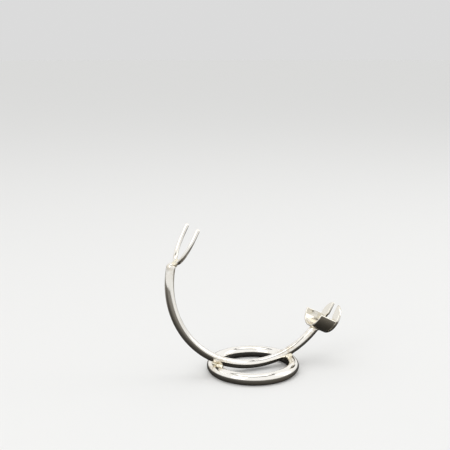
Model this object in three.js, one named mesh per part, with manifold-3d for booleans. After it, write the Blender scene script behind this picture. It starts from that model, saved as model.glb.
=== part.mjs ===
// A table stand for one straight razor, in millimetres, +Z up.
// A closed ring of round rod lies on the table. A C-shaped rod stands across it in the XZ plane.
// The C carries an open wire fork at its high end and a slanted half-pipe cradle at its low end.
// The pieces are joined by filler metal, so nothing on the stand moves.
// The origin is on the table, midway between the ends of the stand.
import * as THREE from "three";
import { mergeVertices } from "three/addons/utils/BufferGeometryUtils.js";
import Module from "manifold-3d";

// ---- driving dimensions ----
const GAP = 0.3; // space left between two pieces that are joined

const RING_ROD_RADIUS = 3.15;
const RING_RADIUS = 21.85; // of the rod's centreline, so the ring is 50 mm across
const RING_X = -1;
const RING_FLAT_DEPTH = 0.25; // ground off underneath, so the ring sits firmly

const ARC_ROD_RADIUS = 2.4;
const ARC_RADIUS = 48.75; // of the rod's centreline
const ARC_X = 0.5;
const ARC_HEIGHT = 52.3; // of the centre of the C above the table
const ARC_TOP_ANGLE = 168.6; // degrees from +X, where the high end stops
const ARC_LOW_ANGLE = 317.5; // degrees from +X, where the rod meets the cradle
const ARC_OVERRUN = 6; // degrees drawn past the low end, before the trough is cut out of it

const FORK_WIRE_RADIUS = 1.15;
const FORK_HALF_WIDTH = 8; // from the middle to the centreline of an arm
const FORK_BEND_HEIGHT = 15.5; // of the half-elliptical bottom, up to where the arms run straight
const FORK_HEIGHT = 19.6; // from the bottom of the U to the centres of the round tips
const FORK_LEAN = 63.3; // degrees from +X up to the arms
const FORK_BOTTOM = [-44.4, 64]; // X and Z of the bottom of the U

const TROUGH_RADIUS = 8.7; // outer
const TROUGH_WALL = 0.95;
const TROUGH_LENGTH = 10;
const TROUGH_SLOPE = 28.3; // degrees down from +X
const TROUGH_START = [36, 29.25]; // X and Z of the axis at the high end

const PLATE_RADIUS = 9;
const PLATE_THICKNESS = 1.6;
const PLATE_RISE = 0.3; // of the plate's centre above the trough's axis
const SLOT_HALF_WIDTH = 2.6;
const EYE_RADIUS = 3.9; // round foot of the slot, which the tail of a razor lies in
const EYE_DROP = 1.6; // of the eye's centre below the plate's centre

const FILLER_FORK = [3, 3.2, 2.5]; // half sizes of the filler at each joint
const FILLER_FORK_PLACE = 0.6; // of the way from the rod's end to the bottom of the U
const FILLER_RING = [4.3, 4.3, 2.7];
const FILLER_CRADLE = [3.2, 3.2, 1.6];
const FILLER_CRADLE_BACK = 1.5; // degrees of the arc from its low end back to the filler
const SEAM_SIZE = 0.8; // leg of the filler seam between the trough and its plate
const SEAM_REACH = 75; // degrees each way from the bottom of the trough

const ROD_SIDES = 18;
const WIRE_SIDES = 12;
const RING_STEPS = 64;
const ARC_STEPS = 52;
const FORK_STEPS = 30;
const SHELL_SEGMENTS = 14; // in each quarter turn of the trough and its plate
const BALL_SEGMENTS = 20;
const BALL_RINGS = 12;

// ---- materials ----
const NICKEL = new THREE.MeshStandardMaterial({ color: 0xd9d5cb, roughness: 0.12, metalness: 1 });
const FILLER = new THREE.MeshStandardMaterial({ color: 0xcfc5a8, roughness: 0.35, metalness: 1 });

// ---- solids ----
const wasm = await Module();
wasm.setup();

function solidOf(geometry) {
  const bare = geometry.clone();
  bare.deleteAttribute("normal");
  bare.deleteAttribute("uv");
  const merged = mergeVertices(bare, 1e-4);
  return new wasm.Manifold(
    new wasm.Mesh({
      numProp: 3,
      vertProperties: merged.attributes.position.array,
      triVerts: new Uint32Array(merged.index.array),
    }),
  );
}

function meshOf(name, solid, material) {
  const { numProp, numVert, vertProperties, triVerts } = solid.getMesh();
  const positions = new Float32Array(numVert * 3);
  for (let i = 0; i < numVert; i++) {
    positions.set(vertProperties.subarray(i * numProp, i * numProp + 3), i * 3);
  }
  const geometry = new THREE.BufferGeometry();
  geometry.setAttribute("position", new THREE.BufferAttribute(positions, 3));
  geometry.setIndex(new THREE.BufferAttribute(new Uint32Array(triVerts), 1));
  geometry.computeVertexNormals();
  const mesh = new THREE.Mesh(geometry, material);
  mesh.name = name;
  return mesh;
}

// ---- directions and places ----
const radians = THREE.MathUtils.degToRad;

function onArc(degrees, radius = ARC_RADIUS) {
  const angle = radians(degrees);
  return new THREE.Vector3(
    ARC_X + radius * Math.cos(angle),
    0,
    ARC_HEIGHT + radius * Math.sin(angle),
  );
}

const forkUp = new THREE.Vector3(Math.cos(radians(FORK_LEAN)), 0, Math.sin(radians(FORK_LEAN)));
const forkBottom = new THREE.Vector3(FORK_BOTTOM[0], 0, FORK_BOTTOM[1]);
const troughAxis = new THREE.Vector3(
  Math.cos(radians(TROUGH_SLOPE)),
  0,
  -Math.sin(radians(TROUGH_SLOPE)),
);

// Turns a shape drawn in XY and extruded along +Z into the trough's own place:
// drawn X becomes Y, drawn Y becomes the trough's upward side, and +Z runs down its axis.
function alongTrough(geometry, distance) {
  const across = new THREE.Vector3(0, 1, 0);
  const upward = new THREE.Vector3().crossVectors(troughAxis, across);
  const placing = new THREE.Matrix4().makeBasis(across, upward, troughAxis);
  placing.setPosition(
    TROUGH_START[0] + troughAxis.x * distance,
    0,
    TROUGH_START[1] + troughAxis.z * distance,
  );
  return geometry.applyMatrix4(placing);
}

// ---- round rods ----
class ArcCurve extends THREE.Curve {
  constructor(fromDegrees, toDegrees) {
    super();
    this.from = fromDegrees;
    this.to = toDegrees;
  }
  getPoint(t, target = new THREE.Vector3()) {
    return target.copy(onArc(THREE.MathUtils.lerp(this.from, this.to, t)));
  }
}

// The half ellipse at the bottom of the fork, in the plane of Y and the fork's arms.
class ForkBendCurve extends THREE.Curve {
  getPoint(t, target = new THREE.Vector3()) {
    const angle = Math.PI * (1 + t);
    const rise = FORK_BEND_HEIGHT * (1 + Math.sin(angle));
    target.copy(forkBottom).addScaledVector(forkUp, rise);
    target.y = FORK_HALF_WIDTH * Math.cos(angle);
    return target;
  }
}

function rodAlong(curve, radius, sides, steps) {
  const section = new THREE.Shape().absarc(0, 0, radius, 0, 2 * Math.PI);
  const options = { steps, curveSegments: sides / 2, extrudePath: curve, bevelEnabled: false };
  return solidOf(new THREE.ExtrudeGeometry(section, options));
}

// An ellipsoid that leans in the XZ plane by an angle in radians, from +Z towards +X.
function ball(centre, halfSizes, lean = 0) {
  const geometry = new THREE.SphereGeometry(1, BALL_SEGMENTS, BALL_RINGS);
  geometry.rotateX(Math.PI / 2);
  geometry.scale(...halfSizes);
  geometry.rotateY(lean);
  geometry.translate(centre.x, centre.y, centre.z);
  return solidOf(geometry);
}

function roundEnd(centre, radius) {
  return ball(centre, [radius, radius, radius]);
}

function arcRod(extra = 0, lowAngle = ARC_LOW_ANGLE) {
  const curve = new ArcCurve(ARC_TOP_ANGLE, lowAngle);
  return rodAlong(curve, ARC_ROD_RADIUS + extra, ROD_SIDES, ARC_STEPS);
}

function forkTip(side) {
  const tip = forkBottom.clone().addScaledVector(forkUp, FORK_HEIGHT);
  tip.y = side * FORK_HALF_WIDTH;
  return tip;
}

function forkShoulder(side) {
  const shoulder = forkBottom.clone().addScaledVector(forkUp, FORK_BEND_HEIGHT);
  shoulder.y = side * FORK_HALF_WIDTH;
  return shoulder;
}

function forkWire(extra = 0) {
  const path = new THREE.CurvePath();
  path.add(new THREE.LineCurve3(forkTip(-1), forkShoulder(-1)));
  path.add(new ForkBendCurve());
  path.add(new THREE.LineCurve3(forkShoulder(1), forkTip(1)));
  const radius = FORK_WIRE_RADIUS + extra;
  const wire = rodAlong(path, radius, WIRE_SIDES, FORK_STEPS);
  return wire.add(roundEnd(forkTip(-1), radius)).add(roundEnd(forkTip(1), radius));
}

function ringRod(extra = 0) {
  const radius = RING_ROD_RADIUS + extra;
  const profile = [];
  for (let i = 0; i <= ROD_SIDES; i++) {
    const angle = (2 * Math.PI * i) / ROD_SIDES;
    profile.push(
      new THREE.Vector2(RING_RADIUS + radius * Math.cos(angle), radius * Math.sin(angle)),
    );
  }
  const geometry = new THREE.LatheGeometry(profile, RING_STEPS);
  geometry.rotateX(Math.PI / 2);
  geometry.translate(RING_X, 0, RING_ROD_RADIUS - RING_FLAT_DEPTH);
  return solidOf(geometry);
}

// ---- sub-parts ----
function baseRing() {
  const width = 4 * RING_RADIUS;
  const ground = new THREE.BoxGeometry(width, width, 2 * RING_ROD_RADIUS);
  ground.translate(RING_X, 0, -RING_ROD_RADIUS);
  return ringRod().subtract(solidOf(ground)).subtract(arcRod(GAP));
}

// A solid round bar in the trough's place, longer than the trough at both ends.
function troughCore(extra) {
  const radius = TROUGH_RADIUS + extra;
  const length = 4 * TROUGH_LENGTH;
  const geometry = new THREE.CylinderGeometry(radius, radius, length, 4 * SHELL_SEGMENTS);
  geometry.rotateX(Math.PI / 2);
  return solidOf(alongTrough(geometry, TROUGH_LENGTH / 2));
}

// The C-shaped rod, with a round high end and a low end hollowed to fit the trough's underside.
function archedRod() {
  const hollowed = arcRod(0, ARC_LOW_ANGLE + ARC_OVERRUN).subtract(troughCore(GAP));
  const top = roundEnd(onArc(ARC_TOP_ANGLE), ARC_ROD_RADIUS);
  return hollowed.add(top).subtract(forkWire(GAP));
}

function troughShell() {
  const inner = TROUGH_RADIUS - TROUGH_WALL;
  const section = new THREE.Shape();
  section.absarc(0, 0, TROUGH_RADIUS, Math.PI, 2 * Math.PI);
  section.absarc(0, 0, inner, 2 * Math.PI, Math.PI, true);
  const options = { depth: TROUGH_LENGTH, curveSegments: SHELL_SEGMENTS, bevelEnabled: false };
  return solidOf(alongTrough(new THREE.ExtrudeGeometry(section, options), 0));
}

// A round plate with a slot that opens at the top and ends below the middle in a round eye.
function endPlate() {
  const mouth = Math.asin(SLOT_HALF_WIDTH / PLATE_RADIUS);
  const throat = Math.asin(SLOT_HALF_WIDTH / EYE_RADIUS);
  const section = new THREE.Shape();
  section.absarc(0, PLATE_RISE, PLATE_RADIUS, Math.PI / 2 + mouth, 2.5 * Math.PI - mouth);
  section.absarc(
    0,
    PLATE_RISE - EYE_DROP,
    EYE_RADIUS,
    Math.PI / 2 - throat,
    Math.PI / 2 + throat - 2 * Math.PI,
    true,
  );
  section.closePath();
  const options = { depth: PLATE_THICKNESS, curveSegments: SHELL_SEGMENTS, bevelEnabled: false };
  return solidOf(alongTrough(new THREE.ExtrudeGeometry(section, options), TROUGH_LENGTH + GAP));
}

// ---- filler metal ----
function ringFiller(side) {
  const ringHeight = RING_ROD_RADIUS - RING_FLAT_DEPTH;
  const crossing = new THREE.Vector3(RING_X + side * RING_RADIUS, 0, ringHeight);
  const outward = new THREE.Vector3(crossing.x - ARC_X, 0, crossing.z - ARC_HEIGHT).normalize();
  const centre = crossing.clone().addScaledVector(outward, -RING_ROD_RADIUS);
  const lean = Math.atan2(-outward.x, -outward.z);
  return ball(centre, FILLER_RING, lean).subtract(ringRod(GAP)).subtract(arcRod(GAP));
}

function forkFiller() {
  const rodEnd = onArc(ARC_TOP_ANGLE);
  const rod = arcRod(GAP).add(roundEnd(rodEnd, ARC_ROD_RADIUS + GAP));
  const centre = rodEnd.clone().lerp(forkBottom, FILLER_FORK_PLACE);
  return ball(centre, FILLER_FORK).subtract(rod).subtract(forkWire(GAP));
}

function cradleFiller() {
  const centre = onArc(ARC_LOW_ANGLE - FILLER_CRADLE_BACK);
  const rod = arcRod(GAP, ARC_LOW_ANGLE + ARC_OVERRUN);
  const filler = ball(centre, FILLER_CRADLE, radians(TROUGH_SLOPE));
  return filler.subtract(troughCore(GAP)).subtract(rod);
}

// A thin seam in the inner corner between the trough and its plate.
function plateSeam() {
  const outer = TROUGH_RADIUS - TROUGH_WALL - GAP;
  const section = new THREE.Shape();
  const from = radians(270 - SEAM_REACH);
  const to = radians(270 + SEAM_REACH);
  section.absarc(0, 0, outer, from, to);
  section.absarc(0, 0, outer - SEAM_SIZE, to, from, true);
  const options = { depth: SEAM_SIZE, curveSegments: SHELL_SEGMENTS, bevelEnabled: false };
  const start = TROUGH_LENGTH - SEAM_SIZE;
  return solidOf(alongTrough(new THREE.ExtrudeGeometry(section, options), start));
}

// ---- the stand ----
const stand = new THREE.Group();
stand.add(meshOf("base_ring", baseRing(), NICKEL));
stand.add(meshOf("arc_rod", archedRod(), NICKEL));
stand.add(meshOf("fork", forkWire(), NICKEL));
stand.add(meshOf("cradle_trough", troughShell(), NICKEL));
stand.add(meshOf("cradle_end_plate", endPlate(), NICKEL));
stand.add(meshOf("braze_ring_left", ringFiller(-1), FILLER));
stand.add(meshOf("braze_ring_right", ringFiller(1), FILLER));
stand.add(meshOf("braze_fork", forkFiller(), FILLER));
stand.add(meshOf("braze_cradle", cradleFiller(), FILLER));
stand.add(meshOf("braze_end_plate", plateSeam(), FILLER));

export default stand;
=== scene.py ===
import math

import bmesh
import bpy
from mathutils import Matrix, Vector, noise


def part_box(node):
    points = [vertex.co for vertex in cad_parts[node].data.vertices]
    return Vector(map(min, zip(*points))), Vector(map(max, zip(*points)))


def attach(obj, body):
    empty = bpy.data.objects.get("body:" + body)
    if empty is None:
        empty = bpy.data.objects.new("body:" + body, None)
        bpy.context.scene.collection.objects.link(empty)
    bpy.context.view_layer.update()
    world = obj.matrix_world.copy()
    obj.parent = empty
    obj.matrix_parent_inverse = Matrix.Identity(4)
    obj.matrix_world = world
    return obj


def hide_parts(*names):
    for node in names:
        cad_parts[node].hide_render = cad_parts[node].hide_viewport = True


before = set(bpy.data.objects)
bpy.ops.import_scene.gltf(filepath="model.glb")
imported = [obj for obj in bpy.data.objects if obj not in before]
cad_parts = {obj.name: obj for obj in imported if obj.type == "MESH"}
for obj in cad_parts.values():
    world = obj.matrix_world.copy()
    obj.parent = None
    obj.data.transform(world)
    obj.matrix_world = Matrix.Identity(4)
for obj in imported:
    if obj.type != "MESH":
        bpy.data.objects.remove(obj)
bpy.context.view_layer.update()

MM = 0.001

# ---- driving dimensions, the same as the CAD's ----
RING_ROD_RADIUS = 3.15
RING_FLAT_DEPTH = 0.25
ARC_ROD_RADIUS = 2.4
ARC_RADIUS = 48.75
ARC_CENTRE = Vector((0.5, 0, 52.3))
ARC_TOP_ANGLE = 168.6
ARC_LOW_ANGLE = 317.5
FORK_WIRE_RADIUS = 1.15
FORK_HALF_WIDTH = 8
FORK_BEND_HEIGHT = 15.5
FORK_HEIGHT = 19.6
FORK_LEAN = 63.3
FORK_BOTTOM = Vector((-44.4, 0, 64))
TROUGH_RADIUS = 8.7
TROUGH_WALL = 0.95
TROUGH_LENGTH = 10
TROUGH_SLOPE = 28.3
TROUGH_START = Vector((36, 0, 29.25))
GAP = 0.3
PLATE_RADIUS = 9
PLATE_THICKNESS = 1.6
PLATE_RISE = 0.3
SLOT_HALF_WIDTH = 2.6
EYE_RADIUS = 3.9
EYE_DROP = 1.6

# ---- where the fine rod stops and its end is slid to the trough ----
ARC_SHORT_OF_TROUGH = 1

# ---- fineness ----
ROD_SIDES = 64
WIRE_SIDES = 40
RING_STEPS = 256
ARC_STEPS = 200
FORK_STEPS = 120
DOME_STEPS = 14
SHELL_STEPS = 96
RIM_STEPS = 12
EDGE_STEPS = 5
TROUGH_ROUNDING = 0.42
PLATE_ROUNDING = 0.45
MOUTH_ROUNDING = 0.7
CRISP_ANGLE = 40
LUMP_VOXEL = 0.16
LUMP_SETTLING = 8
LUMP_NOISE = (1.0, 2.0, 3)  # dimension, ratio between octaves, octaves
BALL_SUBDIVISIONS = 4
RIM_BALLS = 28
SEAM_BALLS = 61
SHEET_SIDES = 96


def at_angle(degrees):
    return math.cos(math.radians(degrees)), math.sin(math.radians(degrees))


Y = Vector((0, 1, 0))
Z = Vector((0, 0, 1))
FORK_UP = Vector((at_angle(FORK_LEAN)[0], 0, at_angle(FORK_LEAN)[1]))
TROUGH_AXIS = Vector((at_angle(TROUGH_SLOPE)[0], 0, -at_angle(TROUGH_SLOPE)[1]))
TROUGH_UP = TROUGH_AXIS.cross(Y)

ring_low, ring_high = (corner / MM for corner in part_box("base_ring"))
RING_CENTRE = Vector(((ring_low.x + ring_high.x) / 2, 0, RING_ROD_RADIUS - RING_FLAT_DEPTH))
RING_RADIUS = (ring_high.y - ring_low.y) / 2 - RING_ROD_RADIUS


def on_arc(degrees):
    x, z = at_angle(degrees)
    return ARC_CENTRE + ARC_RADIUS * Vector((x, 0, z))


def along_arc(degrees):
    x, z = at_angle(degrees)
    return Vector((-z, 0, x))


def in_trough(across, up, along):
    return TROUGH_START + across * Y + up * TROUGH_UP + along * TROUGH_AXIS


# ---- camera: its place in metres, its lens and sensor in millimetres ----
CAMERA_PLACE = (-0.1901, -0.4248, 0.1758)
CAMERA_TILT = 78.41
CAMERA_HEADING = -22.13
LENS = 72
SENSOR_WIDTH = 36


def add_camera():
    camera = bpy.data.objects.new("camera", bpy.data.cameras.new("camera"))
    camera.location = CAMERA_PLACE
    camera.rotation_euler = (math.radians(CAMERA_TILT), 0, math.radians(CAMERA_HEADING))
    camera.data.lens = LENS
    camera.data.sensor_width = SENSOR_WIDTH
    bpy.context.collection.objects.link(camera)
    bpy.context.scene.camera = camera


# ---- meshes ----
def piece_of(name, mesh):
    piece = bpy.data.objects.new(name, mesh)
    bpy.context.collection.objects.link(piece)
    for polygon in mesh.polygons:
        polygon.use_smooth = True
    return piece


def skin(name, rings, closed=False):
    """A closed mesh through rings of points, with UVs in millimetres along and around it."""
    bm = bmesh.new()
    uv = bm.loops.layers.uv.new("UVMap")
    loops = [[bm.verts.new(point * MM) for point in ring] for ring in rings]
    sides = len(rings[0])
    along = [0.0]
    for before, after in zip(rings, rings[1:] + rings[:1]):
        along.append(along[-1] + (sum(after, Vector()) - sum(before, Vector())).length / sides)
    middle = rings[len(rings) // 2]
    around = max((middle[0] - point).length for point in middle) * math.pi
    for i in range(len(rings) if closed else len(rings) - 1):
        lower, upper = loops[i], loops[(i + 1) % len(rings)]
        for j in range(sides):
            k = (j + 1) % sides
            face = bm.faces.new((lower[j], lower[k], upper[k], upper[j]))
            places = ((i, j), (i, j + 1), (i + 1, j + 1), (i + 1, j))
            for loop, (row, column) in zip(face.loops, places):
                loop[uv].uv = (along[row], around * column / sides)
    if not closed:
        bm.faces.new(loops[0])
        bm.faces.new(reversed(loops[-1]))
    bmesh.ops.recalc_face_normals(bm, faces=bm.faces)
    mesh = bpy.data.meshes.new(name)
    bm.to_mesh(mesh)
    bm.free()
    return piece_of(name, mesh)


def section(centre, first, second, radius, sides):
    """A circle of points in the plane of two unit directions."""
    points = []
    for j in range(sides):
        x, y = at_angle(360 * j / sides)
        points.append(centre + radius * (x * first + y * second))
    return points


def sweep(path, flat_normal, radius, sides, domes=(False, False)):
    """Rings of a round rod along a path that lies in one plane, with domed ends where asked."""
    rings = []
    last = len(path) - 1
    for i, point in enumerate(path):
        tangent = (path[min(i + 1, last)] - path[max(i - 1, 0)]).normalized()
        side = tangent.cross(flat_normal)
        ring = section(point, flat_normal, side, radius, sides)
        if i == 0 and domes[0]:
            rings += dome(point, -tangent, flat_normal, side, radius, sides)[::-1]
        rings.append(ring)
        if i == last and domes[1]:
            rings += dome(point, tangent, flat_normal, side, radius, sides)
    return rings


def dome(centre, outward, first, second, radius, sides):
    rings = []
    for step in range(1, DOME_STEPS):
        inward, out = at_angle(90 * step / DOME_STEPS)
        rings.append(section(centre + radius * out * outward, first, second, radius * inward, sides))
    return rings


def shell(name, rings):
    """A skin whose flat faces shade flat and whose square corners stay crisp."""
    piece = skin(name, rings)
    bm = bmesh.new()
    bm.from_mesh(piece.data)
    for edge in bm.edges:
        edge.smooth = edge.calc_face_angle(0) < math.radians(CRISP_ANGLE)
    bm.to_mesh(piece.data)
    bm.free()
    piece.modifiers.new("flat faces", "WEIGHTED_NORMAL").keep_sharp = True
    return piece


def rounded_end(outline, place, inward, radius):
    """Rings of an end that rounds over, from its face inwards. outline(inset) is the section drawn in."""
    rings = []
    for step in range(EDGE_STEPS + 1):
        out, across = at_angle(90 * step / EDGE_STEPS)
        depth = place + inward * radius * (1 - out)
        rings.append([in_trough(x, y, depth) for x, y in outline(radius * (1 - across))])
    return rings


def arc(centre, radius, start, end, steps):
    """Points of an arc in a section, from one angle to another."""
    points = []
    for i in range(steps + 1):
        x, y = at_angle(start + (end - start) * i / steps)
        points.append((centre[0] + radius * x, centre[1] + radius * y))
    return points


def hand_in(piece, node, material):
    piece.data.materials.append(material)
    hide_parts(node)
    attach(piece, "root")


# ---- the formed metal ----
def base_ring():
    rings = []
    for i in range(RING_STEPS):
        x, y = at_angle(360 * i / RING_STEPS)
        outward = Vector((x, y, 0))
        centre = RING_CENTRE + RING_RADIUS * outward
        ring = section(centre, outward, Z, RING_ROD_RADIUS, ROD_SIDES)
        for point in ring:
            point.z = max(point.z, 0)
        rings.append(ring)
    return skin("base_ring_fine", rings, closed=True)


def slide_to_trough(point, direction):
    """A point moved along a direction until it is halfway through the trough's wall."""
    radius = TROUGH_RADIUS - TROUGH_WALL / 2
    offset = point - TROUGH_START
    start = Vector((offset.dot(Y), offset.dot(TROUGH_UP)))
    travel = Vector((direction.dot(Y), direction.dot(TROUGH_UP)))
    a, b, c = travel.dot(travel), start.dot(travel), start.dot(start) - radius**2
    return point + direction * ((-b - math.sqrt(b * b - a * c)) / a)


def arc_rod():
    step = (ARC_LOW_ANGLE - ARC_SHORT_OF_TROUGH - ARC_TOP_ANGLE) / ARC_STEPS
    path = [on_arc(ARC_TOP_ANGLE + i * step) for i in range(ARC_STEPS + 1)]
    rings = sweep(path, Y, ARC_ROD_RADIUS, ROD_SIDES, domes=(True, False))
    direction = (path[-1] - path[-2]).normalized()
    rings.append([slide_to_trough(point, direction) for point in rings[-1]])
    return skin("arc_rod_fine", rings)


def fork():
    path = [FORK_BOTTOM + FORK_HEIGHT * FORK_UP - FORK_HALF_WIDTH * Y]
    for i in range(FORK_STEPS + 1):
        x, y = at_angle(180 + 180 * i / FORK_STEPS)
        path.append(FORK_BOTTOM + FORK_BEND_HEIGHT * (1 + y) * FORK_UP + FORK_HALF_WIDTH * x * Y)
    path.append(FORK_BOTTOM + FORK_HEIGHT * FORK_UP + FORK_HALF_WIDTH * Y)
    normal = FORK_UP.cross(Y)
    return skin("fork_fine", sweep(path, normal, FORK_WIRE_RADIUS, WIRE_SIDES, domes=(True, True)))


def trough_section(inset):
    """The half-pipe's section with round rims, drawn in by a distance."""
    middle = TROUGH_RADIUS - TROUGH_WALL / 2
    rim = math.degrees(math.asin(TROUGH_WALL / 2 / middle))
    half_wall = TROUGH_WALL / 2 - inset
    x, y = middle * at_angle(rim)[0], -middle * at_angle(rim)[1]
    points = arc((0, 0), middle + half_wall, 180 + rim, 360 - rim, SHELL_STEPS)
    points += arc((x, y), half_wall, -rim, 180 - rim, RIM_STEPS)[1:-1]
    points += arc((0, 0), middle - half_wall, 360 - rim, 180 + rim, SHELL_STEPS)
    points += arc((-x, y), half_wall, rim, 180 + rim, RIM_STEPS)[1:-1]
    return points


def cradle_trough():
    rings = rounded_end(trough_section, 0, 1, TROUGH_ROUNDING)
    rings.append([in_trough(x, y, TROUGH_LENGTH + GAP) for x, y in trough_section(0)])
    return shell("cradle_trough_fine", rings)


def plate_section(inset):
    """The slotted round plate's section with round corners at the slot's mouth, drawn in by a distance."""
    reach = SLOT_HALF_WIDTH + MOUTH_ROUNDING
    height = math.sqrt((PLATE_RADIUS - MOUTH_ROUNDING) ** 2 - reach**2)
    corner = math.degrees(math.atan2(height, reach))
    throat = math.degrees(math.asin((SLOT_HALF_WIDTH + inset) / (EYE_RADIUS + inset)))
    eye = (0, PLATE_RISE - EYE_DROP)
    turn = MOUTH_ROUNDING - inset
    points = arc((0, PLATE_RISE), PLATE_RADIUS - inset, 180 - corner, 360 + corner, 2 * SHELL_STEPS)
    points += arc((reach, PLATE_RISE + height), turn, corner, 180, RIM_STEPS)[1:]
    points += arc(eye, EYE_RADIUS + inset, 90 - throat, throat - 270, SHELL_STEPS)
    points += arc((-reach, PLATE_RISE + height), turn, 0, 180 - corner, RIM_STEPS)[:-1]
    return points


def plate_by_trough(inset):
    """The plate's section on the trough's side. It keeps its full size where the trough meets it."""
    points = []
    for full, drawn in zip(plate_section(0), plate_section(inset)):
        inside = math.hypot(*full) < TROUGH_RADIUS - TROUGH_WALL
        points.append(Vector(full).lerp(Vector(drawn), 1 if inside else min(max(full[1], 0), 1)))
    return points


def cradle_end_plate():
    start = TROUGH_LENGTH + GAP
    rings = rounded_end(plate_by_trough, start, 1, PLATE_ROUNDING)
    rings += rounded_end(plate_section, start + PLATE_THICKNESS, -1, PLATE_ROUNDING)[::-1]
    return shell("cradle_end_plate_fine", rings)


# ---- filler metal, as balls that flow together ----
# Along the rod, across the stand, up, and radius.
CROSSING_BALLS = [
    (0, 0, 0, 2.1),
    (0.7, -2.0, -0.15, 1.45),
    (-0.8, -2.1, -0.15, 1.35),
    (0, -2.8, -0.55, 1.1),
    (0.7, 2.0, -0.15, 1.45),
    (-0.8, 2.1, -0.15, 1.35),
    (0, 2.8, -0.55, 1.1),
    (-2.3, 0, -0.2, 1.2),
    (2.3, 0, -0.2, 1.2),
]
DRIP_BALLS = [(0.4, -3.3, -0.95, 1.15), (0.7, -3.9, -1.6, 0.8)]
# Across the fork, up the fork, and radius.
ROD_END_BALLS = [(0, 0, 1.7), (-1.1, 0.5, 1.1), (1.1, 0.5, 1.1)]
FORK_BEND_BALLS = [(0, 0.7, 1.45), (-1.6, 0.3, 1.0), (1.6, 0.3, 1.0)]
ROD_END_TO_BEND = 0.6  # a share of the way from one to the other
JOINT_RUN_UP = 3  # degrees of the rod before its joint with the trough
RIM_RUN_UP = 2
SEAM_REACH = 75  # degrees to each side of the trough's lowest line
TUCK = 0.25


def lump(name, balls, swell, grain):
    """Balls of filler flowed into one another, with an uneven surface."""
    bm = bmesh.new()
    for centre, radius in balls:
        made = bmesh.ops.create_icosphere(bm, subdivisions=BALL_SUBDIVISIONS, radius=radius * MM)
        bmesh.ops.translate(bm, verts=made["verts"], vec=centre * MM)
    mesh = bpy.data.meshes.new(name)
    bm.to_mesh(mesh)
    bm.free()
    rough = bpy.data.objects.new(name, mesh)
    bpy.context.collection.objects.link(rough)
    remesh = rough.modifiers.new("flow", "REMESH")
    remesh.mode = "VOXEL"
    remesh.voxel_size = LUMP_VOXEL * MM
    smooth = rough.modifiers.new("settle", "SMOOTH")
    smooth.iterations = LUMP_SETTLING
    flowed = bpy.data.meshes.new_from_object(
        rough.evaluated_get(bpy.context.evaluated_depsgraph_get())
    )
    bpy.data.objects.remove(rough)
    bpy.data.meshes.remove(mesh)
    normals = [vertex.normal.copy() for vertex in flowed.vertices]
    for vertex, normal in zip(flowed.vertices, normals):
        height = noise.fractal(vertex.co / (grain * MM), *LUMP_NOISE)
        vertex.co += normal * height * swell * MM
    flowed.name = name
    return piece_of(name, flowed)


def uneven(place, radius, swing, wave):
    """A ball's radius, which varies from place to place."""
    return radius + swing * noise.noise(place / wave)


def ring_lump(name, side, balls):
    """Filler where the rod crosses the ring."""
    crossing = RING_CENTRE + Vector((side * RING_RADIUS, 0, 0))
    down = (crossing - ARC_CENTRE).normalized()
    along = down.cross(Y)
    contact = crossing - down * RING_ROD_RADIUS
    placed = []
    for distance, across, up, radius in balls:
        placed.append((contact + distance * along + across * Y + up * Z, radius))
    return lump(name, placed, swell=0.12, grain=1.7)


def fork_lump():
    """Filler between the rod's high end and the fork's bend."""
    middle = on_arc(ARC_TOP_ANGLE).lerp(FORK_BOTTOM, ROD_END_TO_BEND)
    placed = []
    for centre, balls in ((middle, ROD_END_BALLS), (FORK_BOTTOM, FORK_BEND_BALLS)):
        for across, up, radius in balls:
            placed.append((centre + across * Y + up * FORK_UP, radius))
    return lump("braze_fork_lump", placed, swell=0.1, grain=1.4)


def cradle_lump():
    """Filler round the rod's end, where it meets the trough."""
    joint = slide_to_trough(on_arc(ARC_LOW_ANGLE - JOINT_RUN_UP), along_arc(ARC_LOW_ANGLE))
    balls = []
    for i in range(RIM_BALLS):
        x, y = at_angle(360 * i / RIM_BALLS)
        rim = joint + ARC_ROD_RADIUS * (x * Y + y * TROUGH_AXIS)
        place = slide_to_trough(rim - RIM_RUN_UP * TROUGH_UP, TROUGH_UP) - TUCK * TROUGH_UP
        balls.append((place, uneven(rim, radius=0.62, swing=0.12, wave=1.7)))
    return lump("braze_cradle_lump", balls, swell=0.08, grain=0.9)


def plate_seam():
    """Filler in the corner between the trough and its plate."""
    balls = []
    corner = TROUGH_RADIUS - TROUGH_WALL - TUCK
    for i in range(SEAM_BALLS):
        x, y = at_angle(270 - SEAM_REACH + 2 * SEAM_REACH * i / (SEAM_BALLS - 1))
        place = in_trough(corner * x, corner * y, TROUGH_LENGTH + GAP - TUCK)
        balls.append((place, uneven(place, radius=0.5, swing=0.08, wave=1.5)))
    return lump("braze_end_plate_seam", balls, swell=0.05, grain=0.8)


# ---- materials ----
# Noise scales are in waves per metre, and the brushing's in waves per millimetre before it is stretched.
# Bump heights and the stain's reach are in metres.
STAIN_EDGE = 0.0105
STAIN_CORE = 0.0025
STAIN_COLOUR = (0.56, 0.47, 0.33, 1)
STAIN_PATCH_SCALE = 420
STAIN_ROUGHNESS = 0.15
CLOUD_SCALE = 110
CLOUD_TINT = (0.98, 0.94, 0.86)
CLOUD_STRENGTH = 0.22
SMUDGE_SCALE = 300
SMUDGE_ROUGHNESS = 0.07
BRUSHING_SCALE = 6
BRUSHING_ROUGHNESS = 0.04
BRUSHING_HEIGHT = 0.0000005
WAVE_SCALE = 150
WAVE_HEIGHT = 0.000016
FILLER_SCALE = 600
FILLER_DARK = (0.84, 0.78, 0.63, 1)
FILLER_LIGHT = (0.93, 0.88, 0.74, 1)
FILLER_ROUGHNESS = (0.3, 0.46)
PIT_SCALE = 480
PIT_COLOUR = (0.12, 0.09, 0.06, 1)
PIT_DEPTH = 0.00006
GRAIN_SCALE = 1100
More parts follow.
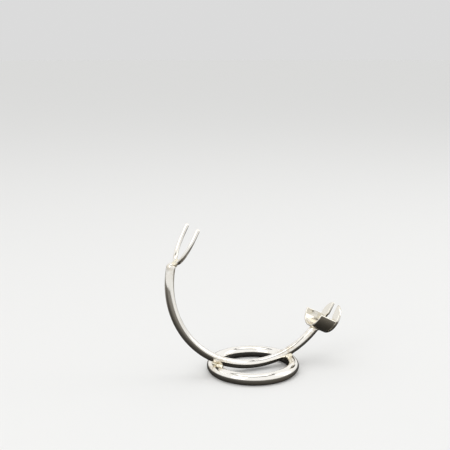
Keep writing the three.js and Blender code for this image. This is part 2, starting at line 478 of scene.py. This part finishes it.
GRAIN_HEIGHT = 0.00004


class Tree:
    """The nodes of one material."""

    def __init__(self, name):
        self.material = bpy.data.materials.new(name)
        self.open(self.material, "Principled BSDF")

    def open(self, owner, shader):
        owner.use_nodes = True
        self.nodes = owner.node_tree.nodes
        self.links = owner.node_tree.links
        self.shader = self.nodes[shader]

    def add(self, kind, inputs=(), **settings):
        node = self.nodes.new(kind)
        for key, value in settings.items():
            setattr(node, key, value)
        for key, value in dict(inputs).items():
            self.set(node.inputs[key], value)
        return node

    def set(self, socket, value):
        if isinstance(value, bpy.types.NodeSocket):
            self.links.new(value, socket)
        else:
            socket.default_value = value

    def shape(self, source="Object", scale=(1, 1, 1)):
        coordinates = self.add("ShaderNodeTexCoord").outputs[source]
        mapping = self.add("ShaderNodeMapping", {"Vector": coordinates, "Scale": scale})
        return mapping.outputs[0]

    def noise(self, vector, scale, detail=4, roughness=0.5):
        inputs = {"Vector": vector, "Scale": scale, "Detail": detail, "Roughness": roughness}
        return self.add("ShaderNodeTexNoise", inputs).outputs["Fac"]

    def span(self, value, low, high, new_low=0.0, new_high=1.0):
        inputs = {"Value": value, "From Min": low, "From Max": high, "To Min": new_low, "To Max": new_high}
        return self.add("ShaderNodeMapRange", inputs).outputs[0]

    def math(self, operation, first, second):
        return self.add("ShaderNodeMath", {0: first, 1: second}, operation=operation).outputs[0]

    def mix(self, factor, first, second):
        inputs = {"Factor": factor, 6: first, 7: second}
        return self.add("ShaderNodeMix", inputs, data_type="RGBA").outputs[2]

    def bands(self, value, stops):
        """A colour that changes along a value, through a list of stops."""
        ramp = self.add("ShaderNodeValToRGB", {0: value})
        elements = ramp.color_ramp.elements
        elements.remove(elements[1])
        elements[0].position = stops[0][0]
        elements[0].color = (*stops[0][1], 1)
        for position, colour in stops[1:]:
            elements.new(position).color = (*colour, 1)
        return ramp.outputs[0]

    def bump(self, height, distance, normal=None):
        inputs = {"Height": height, "Distance": distance, "Strength": 1.0}
        if normal:
            inputs["Normal"] = normal
        return self.add("ShaderNodeBump", inputs).outputs[0]


class WorldTree(Tree):
    """The nodes of the surroundings."""

    def __init__(self, name):
        self.world = bpy.data.worlds.new(name)
        self.open(self.world, "Background")


def joint_places():
    left = RING_CENTRE + Vector((-RING_RADIUS, 0, RING_ROD_RADIUS))
    right = RING_CENTRE + Vector((RING_RADIUS, 0, RING_ROD_RADIUS))
    return [left, right, FORK_BOTTOM, on_arc(ARC_LOW_ANGLE)]


def nickel(name, colour, roughness, brushing):
    """Bright nickel plate: faint waves, fine polishing lines, and a tan stain near each joint."""
    tree = Tree(name)
    place = tree.shape()
    stain = None
    for joint in joint_places():
        inputs = {0: place, 1: joint * MM}
        distance = tree.add("ShaderNodeVectorMath", inputs, operation="DISTANCE").outputs["Value"]
        near = tree.span(distance, STAIN_EDGE, STAIN_CORE)
        stain = near if stain is None else tree.math("MAXIMUM", stain, near)
    patches = tree.span(tree.noise(place, STAIN_PATCH_SCALE, 4, 0.55), 0.4, 0.75)
    stain = tree.math("MULTIPLY", stain, patches)
    cloud = tree.span(tree.noise(place, CLOUD_SCALE, 2), 0.35, 0.7, 0.0, CLOUD_STRENGTH)
    warm = tuple(c * f for c, f in zip(colour, CLOUD_TINT))
    base = tree.mix(cloud, (*colour, 1), (*warm, 1))
    tree.set(tree.shader.inputs["Base Color"], tree.mix(stain, base, STAIN_COLOUR))
    tree.shader.inputs["Metallic"].default_value = 1.0
    lines = tree.noise(tree.shape("UV", brushing), BRUSHING_SCALE, 4, 0.6)
    smudge = tree.span(tree.noise(place, SMUDGE_SCALE, 4, 0.6), 0.4, 0.75, 0.0, SMUDGE_ROUGHNESS)
    streak = tree.span(lines, 0.35, 0.75, 0.0, BRUSHING_ROUGHNESS)
    gloss = tree.math("ADD", tree.math("ADD", smudge, streak), roughness)
    gloss = tree.math("ADD", gloss, tree.math("MULTIPLY", stain, STAIN_ROUGHNESS))
    tree.set(tree.shader.inputs["Roughness"], gloss)
    waves = tree.bump(tree.noise(place, WAVE_SCALE, 2), WAVE_HEIGHT)
    tree.set(tree.shader.inputs["Normal"], tree.bump(lines, BRUSHING_HEIGHT, waves))
    return tree.material


def filler(name):
    """Plated filler metal: cream, softer, uneven, with a few dark pits."""
    tree = Tree(name)
    place = tree.shape()
    body = tree.noise(place, FILLER_SCALE, 4, 0.55)
    pits = tree.span(tree.noise(place, PIT_SCALE, 3, 0.55), 0.64, 0.72)
    base = tree.mix(tree.span(body, 0.3, 0.7), FILLER_DARK, FILLER_LIGHT)
    tree.set(tree.shader.inputs["Base Color"], tree.mix(pits, base, PIT_COLOUR))
    tree.shader.inputs["Metallic"].default_value = 1.0
    tree.set(tree.shader.inputs["Roughness"], tree.span(body, 0.3, 0.75, *FILLER_ROUGHNESS))
    grainy = tree.bump(tree.noise(place, GRAIN_SCALE, 3, 0.5), GRAIN_HEIGHT)
    tree.set(tree.shader.inputs["Normal"], tree.bump(tree.math("SUBTRACT", 1.0, pits), PIT_DEPTH, grainy))
    return tree.material


def plain(name, colour, roughness):
    tree = Tree(name)
    tree.shader.inputs["Base Color"].default_value = (*colour, 1)
    tree.shader.inputs["Roughness"].default_value = roughness
    tree.shader.inputs["Specular IOR Level"].default_value = 0
    return tree.material


# ---- the studio, in metres and watts ----
LIGHT_TARGET = Vector((0, 0, 0.04))
SOFT_BOXES = [
    ("left box", (-0.9, -0.5, 0.7), 0.7, 0.9, 2.2),
    ("right box", (0.9, -0.3, 0.6), 0.5, 0.9, 1.6),
    ("top box", (0, 0.1, 1.1), 1.0, 0.6, 1.6),
]
SKY_LEVEL = 0.86
SKY_BACKGROUND = 0.71
SKY_BANDS = [
    (0.00, (0.84, 0.83, 0.81)),
    (0.16, (0.98, 0.98, 0.98)),
    (0.30, (1.03, 1.03, 1.03)),
    (0.865, (1.04, 1.04, 1.04)),
    (0.88, (0.14, 0.13, 0.12)),
    (0.93, (0.14, 0.13, 0.12)),
    (0.945, (1.00, 1.00, 1.00)),
]
FLOOR_CENTRE = Vector((0, 0, -0.00005))
FLOOR_RADIUS = 8
# the card is a painted reflection of a dark table, seen only in the metal
CARD_CENTRE = Vector((-0.064, 0.23, -0.00002))
CARD_HALF_WIDTH = 0.245
CARD_HALF_DEPTH = 0.4
CARD_ROUGHNESS = 0.9
CARD_REACH = 0.3
CARD_STRETCH = 0.15
# the point below the trough where the card's painted shadow is darkest
CARD_SHADOW_CENTRE = Vector((0.05, 0.01, 0))
# the card's colour by distance from that point: painted shade, darkest where the stand's shadow falls
CARD_SHADE_BANDS = [
    (0.017, (0.011, 0.010, 0.008)),
    (0.047, (0.020, 0.018, 0.014)),
    (0.093, (0.034, 0.030, 0.024)),
    (0.153, (0.078, 0.070, 0.058)),
    (0.283, (0.17, 0.156, 0.135)),
    (0.50, (0.21, 0.20, 0.18)),
    (1.00, (0.28, 0.27, 0.25)),
]


def sheet(name, centre, half_width, half_depth, material):
    bpy.ops.mesh.primitive_circle_add(vertices=SHEET_SIDES, radius=1, fill_type="NGON", location=centre)
    made = bpy.context.object
    made.data.transform(Matrix.Diagonal((half_width, half_depth, 1, 1)))
    made.name = name
    made.data.materials.append(material)
    return made


def soft_box(name, place, width, height, power):
    light = bpy.data.lights.new(name, "AREA")
    light.shape = "RECTANGLE"
    light.size, light.size_y = width, height
    light.energy = power
    lamp = bpy.data.objects.new(name, light)
    lamp.location = place
    aim = LIGHT_TARGET - Vector(place)
    lamp.rotation_euler = aim.to_track_quat("-Z", "Y").to_euler()
    lamp.visible_camera = False
    bpy.context.collection.objects.link(lamp)


def sky():
    """Even pale light. Polished metal mirrors it with the dark seam round a light tent's roof."""
    tree = WorldTree("studio")
    direction = tree.add("ShaderNodeTexCoord").outputs["Generated"]
    height = tree.add("ShaderNodeSeparateXYZ", {0: direction}).outputs["Z"]
    mirrored = tree.bands(height, SKY_BANDS)
    path = tree.add("ShaderNodeLightPath")
    shown = tree.mix(path.outputs["Is Glossy Ray"], (SKY_LEVEL, SKY_LEVEL, SKY_LEVEL, 1), mirrored)
    behind = (SKY_BACKGROUND, SKY_BACKGROUND, SKY_BACKGROUND, 1)
    shown = tree.mix(path.outputs["Is Camera Ray"], shown, behind)
    tree.set(tree.shader.inputs["Color"], shown)
    bpy.context.scene.world = tree.world


def painted_table_reflection():
    """A card seen only in the metal: a painted reflection of a dark table under the stand. Its colour is
    painted shade, darkest below the stand, where the stand's shadow falls, and brighter away from the
    stand's long axis."""
    tree = Tree("painted reflection card")
    x, y, _ = CARD_CENTRE - CARD_SHADOW_CENTRE
    inputs = {"Location": (x * CARD_STRETCH, y, 0), "Scale": (CARD_STRETCH, 1, 1)}
    inputs["Vector"] = tree.add("ShaderNodeTexCoord").outputs["Object"]
    place = tree.add("ShaderNodeMapping", inputs).outputs[0]
    distance = tree.add("ShaderNodeVectorMath", {0: place}, operation="LENGTH").outputs["Value"]
    share = tree.span(distance, 0.0, CARD_REACH)
    tree.set(tree.shader.inputs["Base Color"], tree.bands(share, CARD_SHADE_BANDS))
    tree.shader.inputs["Roughness"].default_value = CARD_ROUGHNESS
    card = sheet("painted_reflection_card", CARD_CENTRE, CARD_HALF_WIDTH, CARD_HALF_DEPTH, tree.material)
    card.visible_camera = False
    card.visible_diffuse = False
    card.visible_shadow = False


def studio():
    floor_finish = plain("pale floor", colour=(0.82, 0.82, 0.81), roughness=0.8)
    sheet("floor", FLOOR_CENTRE, FLOOR_RADIUS, FLOOR_RADIUS, floor_finish)
    # a painted reflection of a dark table, with painted shade, seen only in the metal
    painted_table_reflection()
    sky()
    for box in SOFT_BOXES:
        soft_box(*box)
    bpy.context.scene.view_settings.view_transform = "Standard"


add_camera()
studio()

ROD_METAL = nickel("nickel rod", colour=(0.90, 0.88, 0.835), roughness=0.05, brushing=(0.02, 0.5, 1))
SHEET_METAL = nickel("nickel sheet", colour=(0.80, 0.77, 0.70), roughness=0.11, brushing=(0.5, 0.5, 1))
FILLER_METAL = filler("nickel filler")

hand_in(base_ring(), "base_ring", ROD_METAL)
hand_in(arc_rod(), "arc_rod", ROD_METAL)
hand_in(fork(), "fork", ROD_METAL)
hand_in(cradle_trough(), "cradle_trough", SHEET_METAL)
hand_in(cradle_end_plate(), "cradle_end_plate", SHEET_METAL)
left_lump = ring_lump("braze_ring_left_lump", -1, CROSSING_BALLS + DRIP_BALLS)
hand_in(left_lump, "braze_ring_left", FILLER_METAL)
right_lump = ring_lump("braze_ring_right_lump", 1, CROSSING_BALLS)
hand_in(right_lump, "braze_ring_right", FILLER_METAL)
hand_in(fork_lump(), "braze_fork", FILLER_METAL)
hand_in(cradle_lump(), "braze_cradle", FILLER_METAL)
hand_in(plate_seam(), "braze_end_plate", FILLER_METAL)
